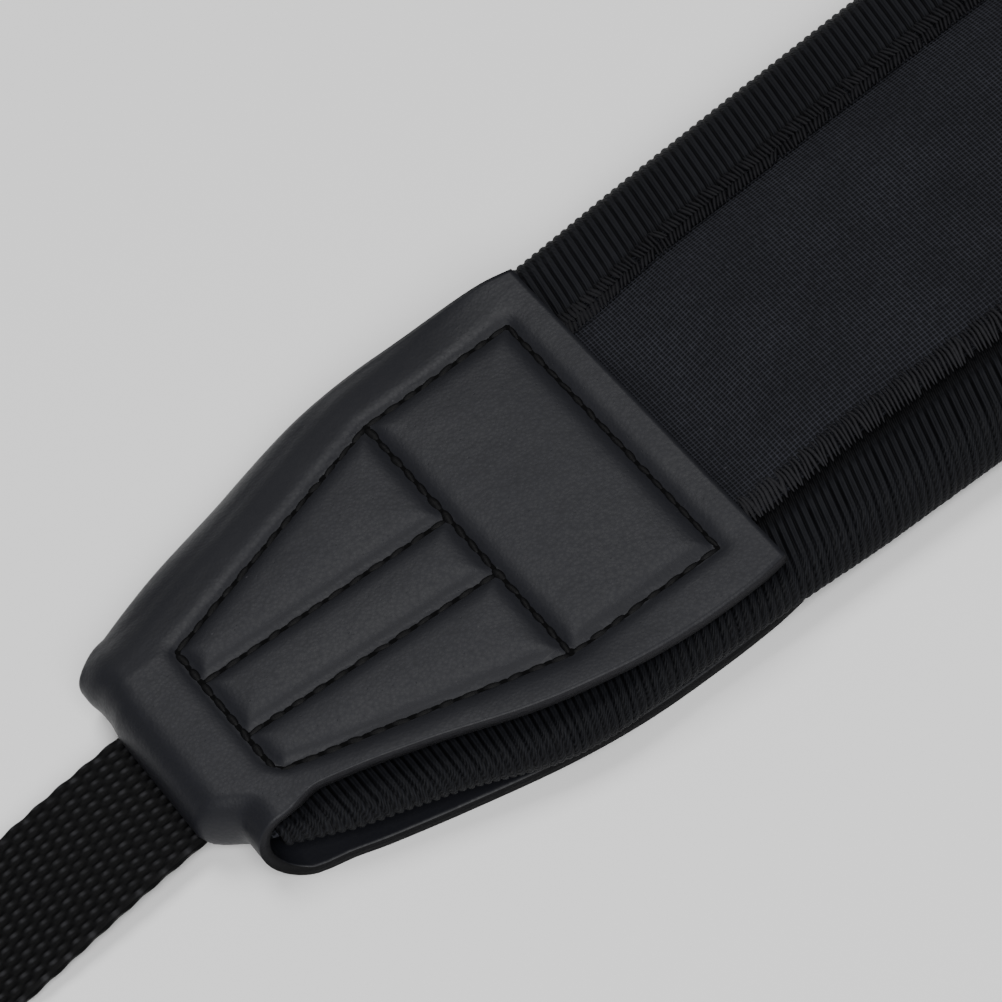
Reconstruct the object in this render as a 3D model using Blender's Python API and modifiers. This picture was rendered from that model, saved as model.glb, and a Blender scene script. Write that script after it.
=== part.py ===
"""Camera neck strap: a contoured neoprene pad with bound edges, a folded leather tab on each end,
and a webbing strap out of each tab, doubled back through a plain slider to leave an eye.

Metres, +Z up. +X runs along the strap, -Y is its near side, and the origin is at the bottom centre.
The tabs' axis lies PAD_BOW nearer than the origin, because the pad bows to the far side.
"""
import math

import bmesh
import bpy
from mathutils import Vector

MM = 0.001

# Clearance between pieces that touch
GAP = 0.3 * MM

# Pad: what shows between the two leather tabs
PAD_SEEN_LENGTH = 316 * MM
PAD_MIDDLE_WIDTH = 65 * MM
PAD_NECK_WIDTH = 58.6 * MM
PAD_BOW = 2.6 * MM
PAD_EDGE_THICKNESS = 7.8 * MM
PANEL_SET = 0.3 * MM
PAD_EASE = 16 * MM
PAD_EASE_LEAD = 2 * MM

# Binding tape round the pad's long edges, with the sewn ridge along its inner edge
BINDING_WALL = 1.0 * MM
BINDING_REACH = 12.2 * MM
RIDGE_WIDTH = 2.8 * MM
RIDGE_HEIGHT = 0.8 * MM

# Leather tab, one piece folded over the pad's end
TAB_LENGTH = 67 * MM
TAB_WIDTH = 54.4 * MM
TAB_HEIGHT = 8.8 * MM
LEATHER = 1.3 * MM
QUILT_DEPTH = 0.5 * MM
QUILT_PUFF = 0.5 * MM
STITCH_MARGIN = 4.7 * MM
CROSSBAR_FROM_EDGE = 24.3 * MM
NARROW_LINE_FROM_TIP = 10.4 * MM
STITCHED_WIDTH = 41.2 * MM
STITCHED_NARROW_WIDTH = 21 * MM

# Webbing strap, straight out of the tab and turned back at its end
WEB_WIDTH = 18.2 * MM
WEB_THICKNESS = 1.5 * MM
WEB_INSIDE = 22 * MM
WEB_REACH = 215 * MM
WEB_SETTLE = 36 * MM
WEB_LEAN = math.radians(5)
WEB_LAYER_GAP = 0.6 * MM
WEB_TAIL = 30 * MM
EYE_RADIUS = 4 * MM
EYE_LENGTH = 26 * MM

# Slider: one frame with a low middle bar and two high end bars
SLIDER_LENGTH = 19 * MM
SLIDER_RAIL = 3.4 * MM
SLIDER_BAR = 4 * MM
SLIDER_MIDDLE_BAR = 3.6 * MM
SLIDER_BAR_HEIGHT = 1.9 * MM
SLIDER_FROM_EYE_END = 39 * MM
SLIDER_ROUNDING = 0.6 * MM

# How far a cutter runs past what it cuts, and how near a row lies to a stitch line to be sewn
OVERCUT = 1 * MM
LINE_SNAP = 0.1 * MM

# Leather outline from the wide edge (0) to the fold (1): half widths as shares of TAB_WIDTH / 2
TAB_OUTLINE = (
    # along, far,  near, under
    (0.00, 0.97, 0.99, 1.00),
    (0.06, 1.01, 1.01, 1.02),
    (0.18, 1.05, 1.01, 1.03),
    (0.32, 1.06, 0.98, 1.02),
    (0.46, 1.03, 0.91, 0.97),
    (0.64, 0.90, 0.78, 0.86),
    (0.82, 0.75, 0.65, 0.73),
    (0.93, 0.65, 0.61, 0.65),
    (1.00, 0.56, 0.54, 0.56),
)

# Pad's edge inside the tab, from the wide edge (0) to its own end (1), as shares of PAD_NECK_WIDTH / 2
PAD_OUTLINE = (
    # along, half
    (0.00, 1.00),
    (0.25, 0.98),
    (0.45, 0.93),
    (0.60, 0.84),
    (0.80, 0.70),
    (0.93, 0.60),
    (1.00, 0.54),
)

PAD_HALF_SEEN = PAD_SEEN_LENGTH / 2
NOSE_RADIUS = TAB_HEIGHT / 2
TIP_X = PAD_HALF_SEEN + TAB_LENGTH
NOSE_CENTRE_X = TIP_X - NOSE_RADIUS
PAD_END_X = NOSE_CENTRE_X - NOSE_RADIUS * 0.25
PAD_IN_TAB = PAD_END_X - PAD_HALF_SEEN
BINDING_STACK = BINDING_WALL + GAP
SLIDER_FROM_TIP = WEB_REACH - SLIDER_FROM_EYE_END


def smooth(value):
    """Eased step from 0 to 1."""
    t = min(max(value, 0.0), 1.0)
    return t * t * (3 - 2 * t)


def table_value(table, along, column):
    """Value of a column at a share along the table, on a smooth curve through its rows."""
    rows = [row for row in table]
    if along <= rows[0][0]:
        return rows[0][column]
    for low, high in zip(rows, rows[1:]):
        if along <= high[0]:
            index = rows.index(low)
            before = rows[max(index - 1, 0)]
            after = rows[min(index + 2, len(rows) - 1)]
            span = high[0] - low[0]
            t = (along - low[0]) / span
            slope_low = (high[column] - before[column]) / (high[0] - before[0]) * span
            slope_high = (after[column] - low[column]) / (after[0] - low[0]) * span
            return (
                (2 * t**3 - 3 * t**2 + 1) * low[column]
                + (t**3 - 2 * t**2 + t) * slope_low
                + (3 * t**2 - 2 * t**3) * high[column]
                + (t**3 - t**2) * slope_high
            )
    return rows[-1][column]


def material(name, colour, roughness, metallic=0.0):
    """Plain Principled material."""
    result = bpy.data.materials.new(name)
    result.use_nodes = True
    shader = result.node_tree.nodes["Principled BSDF"]
    shader.inputs["Base Color"].default_value = (*colour, 1.0)
    shader.inputs["Roughness"].default_value = roughness
    shader.inputs["Metallic"].default_value = metallic
    return result


def collection(name):
    """New collection in the scene."""
    result = bpy.data.collections.new(name)
    bpy.context.scene.collection.children.link(result)
    return result


def place(name, mesh, where, finish=None, smooth_angle=35):
    """Object with its mesh, collection and material."""
    item = bpy.data.objects.new(name, mesh)
    where.objects.link(item)
    if finish:
        mesh.materials.append(finish)
    mesh.shade_smooth()
    mesh.set_sharp_from_angle(angle=math.radians(smooth_angle))
    return item


def loft(name, rings):
    """Closed body through rings of equally many points, with a flat cap on each end."""
    bm = bmesh.new()
    loops = [[bm.verts.new(point) for point in ring] for ring in rings]
    for lower, upper in zip(loops, loops[1:]):
        for index, corner in enumerate(lower):
            following = (index + 1) % len(lower)
            bm.faces.new((corner, lower[following], upper[following], upper[index]))
    bm.faces.new(reversed(loops[0]))
    bm.faces.new(loops[-1])
    bmesh.ops.triangulate(bm, faces=[face for face in bm.faces if len(face.verts) > 4])
    bmesh.ops.recalc_face_normals(bm, faces=bm.faces)
    mesh = bpy.data.meshes.new(name)
    bm.to_mesh(mesh)
    bm.free()
    return mesh


def pad_half_width(x):
    """Half the bound pad's width: barrelled where it shows, narrowing inside the tabs."""
    distance = abs(x)
    if distance <= PAD_HALF_SEEN:
        swell = (PAD_MIDDLE_WIDTH - PAD_NECK_WIDTH) / 2
        return PAD_MIDDLE_WIDTH / 2 - swell * (distance / PAD_HALF_SEEN) ** 2
    return PAD_NECK_WIDTH / 2 * table_value(PAD_OUTLINE, (distance - PAD_HALF_SEEN) / PAD_IN_TAB, 1)


def pad_bow(x):
    """How far the pad's middle line lies to the far side of the tabs' axis, as cut to lie round a neck."""
    return PAD_BOW * max(1 - (x / PAD_HALF_SEEN) ** 2, 0.0)


def pad_base(x):
    """Underside of the bound pad: on the surface, then up on the leather and over the webbing's end."""
    distance = abs(x)
    web_end = TIP_X - WEB_INSIDE
    on_webbing = smooth((distance - (web_end - PAD_EASE)) / (PAD_EASE - PAD_EASE_LEAD))
    return (LEATHER + GAP) * pressed(x) + (WEB_THICKNESS + GAP) * on_webbing


def pressed(x):
    """0 where the pad shows and 1 where the leather presses it down."""
    return smooth((abs(x) - (PAD_HALF_SEEN - PAD_EASE)) / (PAD_EASE - PAD_EASE_LEAD))


def pad_top(x):
    """Top of the bound pad: full height where it shows, pressed down under the quilted leather."""
    under_leather = TAB_HEIGHT - LEATHER - QUILT_DEPTH - GAP
    return PAD_EDGE_THICKNESS + (under_leather - PAD_EDGE_THICKNESS) * pressed(x)


def pad_stations():
    """Places along the pad where its section is drawn, closest together at the tabs."""
    shown = [PAD_HALF_SEEN * share for share in (0, 0.2, 0.4, 0.6, 0.75, 0.86)]
    easing = [PAD_HALF_SEEN - PAD_EASE * share for share in (1.0, 0.7, 0.4, 0.15)]
    inside = [PAD_HALF_SEEN + PAD_IN_TAB * share for share in (0.0, 0.12, 0.25, 0.36, 0.47, 0.58, 0.7, 0.8, 0.9, 1.0)]
    right = shown + [x for x in easing if x > shown[-1]] + inside
    return [-x for x in reversed(right[1:])] + right


def edge_arc(x, radius, sideways, steps=6):
    """Half round edge in the section at x, from the underside to the top, on one side of the pad."""
    middle = (pad_base(x) + pad_top(x)) / 2
    centre = pad_half_width(x) - (pad_top(x) - pad_base(x)) / 2
    angles = [-math.pi / 2 + math.pi * step / steps for step in range(steps + 1)]
    return [Vector((x, sideways * (centre + radius * math.cos(a)), middle + radius * math.sin(a))) for a in angles]


def build_pad(where, finish):
    """Neoprene core with its face fabric: a raised panel on both faces, and thinner under the binding."""
    rings = []
    for x in pad_stations():
        half_height = (pad_top(x) - pad_base(x)) / 2
        middle = (pad_base(x) + pad_top(x)) / 2
        panel = half_height - PANEL_SET
        panel_edge = pad_half_width(x) - BINDING_REACH - RIDGE_WIDTH / 2 - GAP
        far = edge_arc(x, half_height - BINDING_STACK, 1)
        near = edge_arc(x, half_height - BINDING_STACK, -1)
        seat = Vector((0, GAP, 0))
        bottom_far = Vector((x, panel_edge, middle - panel))
        bottom_near = Vector((x, -panel_edge, middle - panel))
        top_far = Vector((x, panel_edge, middle + panel))
        top_near = Vector((x, -panel_edge, middle + panel))
        low = Vector((0, 0, half_height - BINDING_STACK - panel))
        ring = [bottom_near, bottom_far, bottom_far + seat - low] + far + [top_far + seat + low, top_far]
        ring += [top_near, top_near - seat + low] + near[::-1] + [bottom_near - seat - low]
        rings.append([point + Vector((0, pad_bow(x), 0)) for point in ring])
    return place("pad", loft("pad", rings), where, finish)


def build_binding(name, sideways, where, finish):
    """Tape folded round one long edge, with the sewn ridge along its inner edge on both faces."""
    rings = []
    for x in pad_stations():
        half_height = (pad_top(x) - pad_base(x)) / 2
        middle = (pad_base(x) + pad_top(x)) / 2
        ridge = pad_half_width(x) - BINDING_REACH
        outside = edge_arc(x, half_height, sideways)
        inside = edge_arc(x, half_height - BINDING_WALL, sideways)
        under_top = half_height - BINDING_WALL
        crest = half_height + RIDGE_HEIGHT * (1 - pressed(x))
        ring = list(outside)
        for offset, height in (
            (RIDGE_WIDTH * 0.5, half_height),
            (RIDGE_WIDTH * 0.3, crest),
            (-RIDGE_WIDTH * 0.3, crest),
            (-RIDGE_WIDTH * 0.5, half_height - PANEL_SET),
            (-RIDGE_WIDTH * 0.5, under_top),
        ):
            ring.append(Vector((x, sideways * (ridge + offset), middle + height)))
        ring += inside[::-1]
        for offset, height in ((-RIDGE_WIDTH * 0.5, under_top), (-RIDGE_WIDTH * 0.5, half_height)):
            ring.append(Vector((x, sideways * (ridge + offset), middle - height)))
        rings.append([point + Vector((0, pad_bow(x), 0)) for point in ring])
    return place(name, loft(name, rings), where, finish)


def tab_rows():
    """Rows of the folded leather: place from the pad's middle, height, and which face it belongs to."""
    narrow = TAB_LENGTH - NARROW_LINE_FROM_TIP
    nose_start = TAB_LENGTH - NOSE_RADIUS
    rectangle = [STITCH_MARGIN + (CROSSBAR_FROM_EDGE - STITCH_MARGIN) * share for share in (0, 0.33, 0.67, 1)]
    taper = [CROSSBAR_FROM_EDGE + (narrow - CROSSBAR_FROM_EDGE) * share for share in (0.2, 0.4, 0.6, 0.8, 1)]
    top = [0.0, STITCH_MARGIN / 2] + rectangle + taper + [(narrow + nose_start) / 2, nose_start]
    rows = [(PAD_HALF_SEEN + along, TAB_HEIGHT, "top") for along in top]
    turns = 8
    for step in range(1, turns):
        angle = math.pi / 2 - math.pi * step / turns
        rows.append((NOSE_CENTRE_X + NOSE_RADIUS * math.cos(angle), NOSE_RADIUS * (1 + math.sin(angle)), "nose"))
    under = [nose_start * share for share in (1, 0.86, 0.7, 0.54, 0.4, 0.28, 0.14, 0)]
    rows += [(PAD_HALF_SEEN + along, 0.0, "under") for along in under]
    return rows


def stitched_half(along):
    """Half the stitched width at a distance from the wide edge."""
    narrow = TAB_LENGTH - NARROW_LINE_FROM_TIP
    share = min(max((along - CROSSBAR_FROM_EDGE) / (narrow - CROSSBAR_FROM_EDGE), 0.0), 1.2)
    return STITCHED_WIDTH / 2 + (STITCHED_NARROW_WIDTH - STITCHED_WIDTH) / 2 * share


def tab_columns(along):
    """Across places of one row, far edge last: [(share of the stitched half width, seam there)]."""
    narrow = TAB_LENGTH - NARROW_LINE_FROM_TIP
    share = min(max((along - CROSSBAR_FROM_EDGE) / (narrow - CROSSBAR_FROM_EDGE), 0.0), 1.0)
    near_joint = -0.27 - 0.19 * share
    far_joint = 0.20 + 0.22 * share
    seams = (-1.0, near_joint, far_joint, 1.0)
    columns = []
    for low, high in zip(seams, seams[1:]):
        columns += [(low, True), (low + (high - low) / 3, False), (low + (high - low) * 2 / 3, False)]
    return columns + [(1.0, True)]


def tab_surface():
    """Outer face of the leather at each row and column."""
    narrow = TAB_LENGTH - NARROW_LINE_FROM_TIP
    grid = []
    for x, height, face in tab_rows():
        along = x - PAD_HALF_SEEN
        share = along / TAB_LENGTH
        under = table_value(TAB_OUTLINE, share, 3)
        blend = smooth(height / TAB_HEIGHT)
        far = TAB_WIDTH / 2 * (under + (table_value(TAB_OUTLINE, share, 1) - under) * blend)
        near = TAB_WIDTH / 2 * (under + (table_value(TAB_OUTLINE, share, 2) - under) * blend)
        half = min(stitched_half(along), min(far, near) * 0.86)
        in_field = STITCH_MARGIN - LINE_SNAP < along < narrow + LINE_SNAP
        on_line = min(abs(along - line) for line in (STITCH_MARGIN, CROSSBAR_FROM_EDGE, narrow)) < LINE_SNAP
        row = [Vector((x, -near, height)), Vector((x, -(near + half) / 2, height))]
        for place_share, seam in tab_columns(along):
            lift = 0.0
            if face == "top" and in_field:
                radial = abs(place_share) < 0.99
                sewn = on_line or (seam and (not radial or along > CROSSBAR_FROM_EDGE))
                lift = -QUILT_DEPTH if sewn else QUILT_PUFF
            row.append(Vector((x, half * place_share, height + lift)))
        row += [Vector((x, (far + half) / 2, height)), Vector((x, far, height))]
        grid.append(row)
    return grid


def build_tab(name, side, where, cutters, finish):
    """Leather folded over one end of the pad, slit through the fold for the webbing."""
    grid = tab_surface()
    bm = bmesh.new()
    bmesh.ops.create_grid(bm, x_segments=len(grid) - 1, y_segments=len(grid[0]) - 1, size=0.5)
    columns = len(grid[0])
    ordered = sorted(bm.verts, key=lambda vert: (round(vert.co.x, 5), round(vert.co.y, 5)))
    for index, vert in enumerate(ordered):
        point = grid[index // columns][index % columns]
        vert.co = Vector((side * point.x, point.y, point.z))
    if side > 0:
        bmesh.ops.reverse_faces(bm, faces=bm.faces)
    bmesh.ops.recalc_face_normals(bm, faces=bm.faces)
    mesh = bpy.data.meshes.new(name)
    bm.to_mesh(mesh)
    bm.free()
    top_face = max(mesh.polygons, key=lambda face: face.center.z)
    if top_face.normal.z < 0:
        mesh.flip_normals()
    tab = place(name, mesh, where, finish)
    shell = tab.modifiers.new("leather", "SOLIDIFY")
    shell.thickness = LEATHER
    shell.offset = -1
    shell.use_even_offset = True
    bpy.ops.mesh.primitive_cube_add(size=1)
    cutter = bpy.context.active_object
    cutter.name = name + "_slit"
    for owner in list(cutter.users_collection):
        owner.objects.unlink(cutter)
    cutters.objects.link(cutter)
    slit_low = LEATHER + GAP / 2
    slit_high = LEATHER + WEB_THICKNESS + 3 * GAP
    cutter.dimensions = (NOSE_RADIUS * 2, WEB_WIDTH + 4 * GAP, slit_high - slit_low)
    cutter.location = (side * (TIP_X - NOSE_RADIUS * 0.1), 0, (slit_low + slit_high) / 2)
    cutter.rotation_euler.z = side * -WEB_LEAN
    cutter.hide_render = True
    cutter.display_type = "WIRE"
    slit = tab.modifiers.new("slit", "BOOLEAN")
    slit.object = cutter
    slit.operation = "DIFFERENCE"
    slit.solver = "EXACT"
    return tab


def web_path():
    """Middle line of the webbing as (distance out of the fold, height), from inside the tab to its tail."""
    half = WEB_THICKNESS / 2
    pitch = WEB_THICKNESS + WEB_LAYER_GAP
    inside_height = LEATHER + GAP + half
    bar_rise = SLIDER_BAR_HEIGHT + GAP
    reach = SLIDER_LENGTH / 2 - SLIDER_BAR
    hump = SLIDER_MIDDLE_BAR / 2
    eye_start = WEB_REACH - EYE_RADIUS - WEB_THICKNESS
    eye_turn = EYE_RADIUS + half

    def over_bar(distance):
        away = abs(distance - SLIDER_FROM_TIP)
        return bar_rise * (1 - smooth((away - hump + GAP) / (reach - hump + 4 * GAP)))

    def main(distance):
        level = smooth(distance / WEB_SETTLE * 7 / 6 - 1 / 6)
        return inside_height + (half - inside_height) * level + over_bar(distance)

    def tail(distance):
        drop = smooth((distance - (eye_start - EYE_LENGTH)) / EYE_LENGTH)
        low = half + pitch + over_bar(distance)
        return low + (half + 2 * eye_turn - low) * drop

    bar_steps = [SLIDER_FROM_TIP + SLIDER_LENGTH * step / 19 for step in range(-9, 10)]
    start = [-WEB_INSIDE] + [WEB_SETTLE * step / 7 for step in range(8)]
    plain = [WEB_SETTLE + (bar_steps[0] - WEB_SETTLE) * share for share in (0.25, 0.5, 0.75)]
    points = [(distance, main(distance)) for distance in start + plain + bar_steps + [eye_start]]
    turns = 10
    for step in range(1, turns):
        angle = -math.pi / 2 + math.pi * step / turns
        points.append((eye_start + eye_turn * math.cos(angle), half + eye_turn * (1 + math.sin(angle))))
    back = [eye_start - EYE_LENGTH * share for share in (0, 0.12, 0.25, 0.37, 0.5, 0.62, 0.75, 0.87, 1)]
    tail_end = SLIDER_FROM_TIP - SLIDER_LENGTH / 2 - WEB_TAIL
    back = [distance for distance in back if distance > bar_steps[-1] + GAP]
    points += [(distance, tail(distance)) for distance in back + bar_steps[::-1] + [tail_end]]
    return points


def build_webbing(name, side, where, finish):
    """Flat strap along its path, one body, leaning a little to the near side."""
    path = web_path()
    bm = bmesh.new()
    bmesh.ops.create_grid(bm, x_segments=len(path) - 1, y_segments=1, size=0.5)
    ordered = sorted(bm.verts, key=lambda vert: (round(vert.co.x, 5), round(vert.co.y, 5)))
    for index, vert in enumerate(ordered):
        distance, height = path[index // 2]
        across = (index % 2 - 0.5) * WEB_WIDTH
        vert.co = Vector((side * distance, across, height))
    mesh = bpy.data.meshes.new(name)
    bm.to_mesh(mesh)
    bm.free()
    strap = place(name, mesh, where, finish)
    body = strap.modifiers.new("thickness", "SOLIDIFY")
    body.thickness = WEB_THICKNESS
    body.offset = 0
    body.use_even_offset = True
    strap.location = (side * TIP_X, 0, 0)
    strap.rotation_euler.z = side * -WEB_LEAN
    return strap


def box_cutter(name, size, centre, cutters):
    """Box for cutting, kept out of the model."""
    bpy.ops.mesh.primitive_cube_add(size=1)
    cutter = bpy.context.active_object
    cutter.name = name
    for owner in list(cutter.users_collection):
        owner.objects.unlink(cutter)
    cutters.objects.link(cutter)
    cutter.dimensions = size
    cutter.location = centre
    cutter.hide_render = True
    cutter.display_type = "WIRE"
    return cutter


def build_slider(name, side, where, cutters, finish):
    """Plain slider: two rails, a low middle bar under the webbing and two end bars over it."""
    window = WEB_WIDTH + 4 * GAP
    under_bars = 2 * WEB_THICKNESS + WEB_LAYER_GAP + GAP
    height = under_bars + SLIDER_BAR_HEIGHT
    bpy.ops.mesh.primitive_cube_add(size=1)
    slider = bpy.context.active_object
    slider.name = name
    for owner in list(slider.users_collection):
        owner.objects.unlink(slider)
    where.objects.link(slider)
    slider.dimensions = (SLIDER_LENGTH, window + 2 * SLIDER_RAIL, height)
    bpy.ops.object.transform_apply(location=False, rotation=False, scale=True)
    slider.data.materials.append(finish)
    rounding = slider.modifiers.new("rounding", "BEVEL")
    rounding.width = SLIDER_ROUNDING
    rounding.segments = 2
    clear = height - SLIDER_BAR_HEIGHT
    side_length = (SLIDER_LENGTH - SLIDER_MIDDLE_BAR) / 2 + OVERCUT
    offset = SLIDER_MIDDLE_BAR / 2 + side_length / 2
    level = -height / 2
    cuts = [
        ("top", (SLIDER_LENGTH - 2 * SLIDER_BAR, window, height), (0, 0, level + SLIDER_BAR_HEIGHT + height / 2)),
        ("in", (side_length, window, clear + OVERCUT), (-offset, 0, level + (clear - OVERCUT) / 2)),
        ("out", (side_length, window, clear + OVERCUT), (offset, 0, level + (clear - OVERCUT) / 2)),
    ]
    holder = bpy.data.objects.new(name + "_place", None)
    where.objects.link(holder)
    reach = SLIDER_FROM_TIP
    holder.location = (
        side * (TIP_X + reach * math.cos(WEB_LEAN)),
        -reach * math.sin(WEB_LEAN),
        height / 2,
    )
    holder.rotation_euler.z = side * -WEB_LEAN
    slider.parent = holder
    for label, size, centre in cuts:
        cutter = box_cutter(name + "_" + label, size, centre, cutters)
        cutter.parent = holder
        cut = slider.modifiers.new(label, "BOOLEAN")
        cut.object = cutter
        cut.operation = "DIFFERENCE"
        cut.solver = "EXACT"
    slider.data.shade_smooth()
    slider.data.set_sharp_from_angle(angle=math.radians(35))
    return slider


def build_strap():
    """All the strap's pieces."""
    for item in list(bpy.data.objects):
        bpy.data.objects.remove(item, do_unlink=True)
    strap = collection("camera_neck_strap")
    cutters = collection("cutters")
    fabric = material("pad_fabric", (0.012, 0.012, 0.014), 0.9)
    tape = material("binding_tape", (0.008, 0.008, 0.010), 0.8)
    leather = material("tab_leather", (0.022, 0.022, 0.026), 0.45)
    nylon = material("webbing_nylon", (0.008, 0.008, 0.009), 0.75)
    plastic = material("slider_plastic", (0.015, 0.015, 0.016), 0.4)
    build_pad(strap, fabric)
    build_binding("binding_near", -1, strap, tape)
    build_binding("binding_far", 1, strap, tape)
    for word, side in (("left", -1), ("right", 1)):
        build_tab("tab_" + word, side, strap, cutters, leather)
        build_webbing("webbing_" + word, side, strap, nylon)
        build_slider("slider_" + word, side, strap, cutters, plastic)
    for item in [*strap.objects, *cutters.objects]:
        if item.parent is None:
            item.location.y -= PAD_BOW


build_strap()
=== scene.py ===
"""Camera neck strap, dressed: knit pad, ribbed binding, sewn ridges, quilted leather tabs, woven webbing.

Sizes are in millimetres and repeat those of the part's source. Meshes are written in metres.
"""

import math

import bmesh
import bpy
import numpy as np
from mathutils import Matrix, Vector


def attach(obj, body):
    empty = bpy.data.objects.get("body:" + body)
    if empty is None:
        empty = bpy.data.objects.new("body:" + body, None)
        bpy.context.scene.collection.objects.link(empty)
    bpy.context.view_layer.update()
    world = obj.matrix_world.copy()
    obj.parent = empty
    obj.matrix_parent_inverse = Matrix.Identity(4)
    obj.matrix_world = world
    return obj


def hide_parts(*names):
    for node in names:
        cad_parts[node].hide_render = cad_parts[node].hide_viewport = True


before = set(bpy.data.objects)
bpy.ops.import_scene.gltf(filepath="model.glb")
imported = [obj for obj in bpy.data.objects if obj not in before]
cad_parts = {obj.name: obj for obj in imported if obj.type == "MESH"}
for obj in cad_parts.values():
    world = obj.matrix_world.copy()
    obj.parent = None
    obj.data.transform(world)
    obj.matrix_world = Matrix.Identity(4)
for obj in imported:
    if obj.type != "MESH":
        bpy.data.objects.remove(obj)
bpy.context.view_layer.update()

MM = 0.001
GAP = 0.3

# Pad
PAD_HALF_SEEN = 158.0
PAD_MIDDLE_WIDTH = 65.0
PAD_NECK_WIDTH = 58.6
PAD_BOW = 2.6
PAD_EDGE_THICKNESS = 7.8
PAD_EASE = 16.0
PAD_EASE_LEAD = 2.0
PAD_STATIONS = 181
PANEL_SET = 0.3
PANEL_CROWN = 1.2
PANEL_CROWN_POWER = 5
PANEL_COLUMNS = 37
PANEL_WAVES = 8
KNIT_COURSE = 0.506
KNIT_WALE = 0.88

# Binding tape. Each rib starts in a rounded head, HEADS_FROM away from the ridge, with a groove before it
BINDING_WALL = 1.0
BINDING_REACH = 12.2
RIB_PITCH = {"near": 1.02, "far": 1.07}
RIB_RELIEF = {"near": 0.26, "far": 0.2}
RIB_LEAN = {"near": 0.3, "far": 0.15}
HEADS_FROM = {"near": 2.2, "far": 0.5}
HEAD_LENGTH = 0.9
TAPE_GROOVE = 0.3
TAPE_SHORT = 0.8
TAPE_FLAT_STEPS = (0.0, 0.08, 0.18, 0.28, 0.34, 0.42, 0.52, 1.0)
TAPE_TURN_STEPS = 15

# The near tape bulges out of the tab's opening, and ribs lose their lean inside the tab.
# Starts and ends are distances from the tab's wide edge.
TAPE_BULGE = 0.9
BULGE_START = 10.0
BULGE_RISE = 14.0
BULGE_END = 52.0
BULGE_FALL = 9.0
LEAN_START = 14.0
LEAN_FADE = 36.0

# Sewn ridge
RIDGE_WIDTH = 2.8
RIDGE_REACH = {"near": 3.8, "far": 3.5}
RIDGE_IN_TAB = 1.0
RIDGE_SHRINK = 0.72
RIDGE_HEIGHT_BELOW = 0.24
RIDGE_PRESSED = (1, 1.4, 0.4, 1)

# Leather tab
TAB_LENGTH = 67.0
TAB_WIDTH = 54.4
TAB_HEIGHT = 8.8
LEATHER = 1.3
TAB_TOP_ROWS = 120
TAB_UNDER_ROWS = 34
UNDER_LIFT = 0.14

# Relief of the leather, as (height, reach): cells and margin stand up away from the lines of stitching,
# which sink in a wide and a narrow groove. The pad leaves room for them.
QUILT_PUFF = (0.36, 2.2)
MARGIN_PUFF = (0.22, 1.6)
GROOVE_WIDE = (0.4, 1.25)
GROOVE_NARROW = (0.25, 0.5)
QUILT_ROOM = 0.5

# Edges of the leather: the far one bends down over the pad, and the near one curls up.
# By the webbing both are pulled back from the fold.
FAR_BEND = 9.0
FAR_SLOPE = 0.2
NEAR_FALL = 0.6
NEAR_CURL = 0.55
NEAR_PULL = 3.8
FAR_PULL = 0.35

# Stitching of a tab
STITCH_MARGIN = 4.7
CROSSBAR_FROM_EDGE = 24.3
NARROW_LINE_FROM_TIP = 10.4
STITCHED_HALF = 20.6
NARROW_HALF = 10.5
STITCH_PITCH = 2.6
STITCH_SIZE = (2.35, 0.66, 0.5)
STITCH_PRESSED = (1, 1.2, 0.34, 1)
# Near-black beads of painted shade at the needle holes
HOLE_SHADE_SIZE = (1.7, 1.35, 0.36)

# Webbing
WEB_WIDTH = 18.2
WEB_THICKNESS = 1.5
WEB_INSIDE = 22.0
WEB_REACH = 215.0
WEB_SETTLE = 36.0
WEB_SHIFT = 0.9
WEB_SHIFT_FADE = 60.0
WEB_LEAN = math.radians(5)
WEB_LAYER_GAP = 0.6
WEB_TAIL = 30.0
EYE_RADIUS = 4.0
EYE_LENGTH = 26.0
WARP_COLUMNS = 27
WEFT_ROW = 1.69
WEFT_SKEW = 0.1
FLOAT_RELIEF = 0.15
FLOAT_SUNK = 0.05
EDGE_SCALLOP = 0.1

# Slider
SLIDER_LENGTH = 19.0
SLIDER_BAR = 4.0
SLIDER_MIDDLE_BAR = 3.6
SLIDER_BAR_HEIGHT = 1.9
SLIDER_FROM_EYE_END = 39.0

NOSE_RADIUS = TAB_HEIGHT / 2
TIP_X = PAD_HALF_SEEN + TAB_LENGTH
NOSE_CENTRE_X = TIP_X - NOSE_RADIUS
NARROW_LINE = TAB_LENGTH - NARROW_LINE_FROM_TIP
PAD_IN_TAB = NOSE_CENTRE_X - NOSE_RADIUS * 0.25 - PAD_HALF_SEEN
SLIDER_FROM_TIP = WEB_REACH - SLIDER_FROM_EYE_END

# Leather outline from the wide edge to the fold: half widths as shares of TAB_WIDTH / 2
TAB_OUTLINE = (
    # along, far,  near, under
    (0.00, 0.97, 0.99, 1.00),
    (0.06, 1.01, 1.01, 1.02),
    (0.18, 1.05, 1.01, 1.03),
    (0.32, 1.08, 0.97, 1.02),
    (0.46, 1.06, 0.88, 0.97),
    (0.64, 0.97, 0.70, 0.86),
    (0.82, 0.82, 0.56, 0.735),
    (0.93, 0.72, 0.58, 0.68),
    (1.00, 0.62, 0.56, 0.60),
)
TAB_FAR, TAB_NEAR, TAB_UNDER = 1, 2, 3

# Pad's edge inside the tab, from the wide edge to its own end
PAD_OUTLINE = (
    # along, half
    (0.00, 1.00),
    (0.25, 0.98),
    (0.45, 0.93),
    (0.60, 0.84),
    (0.80, 0.70),
    (0.93, 0.60),
    (1.00, 0.54),
)

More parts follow.
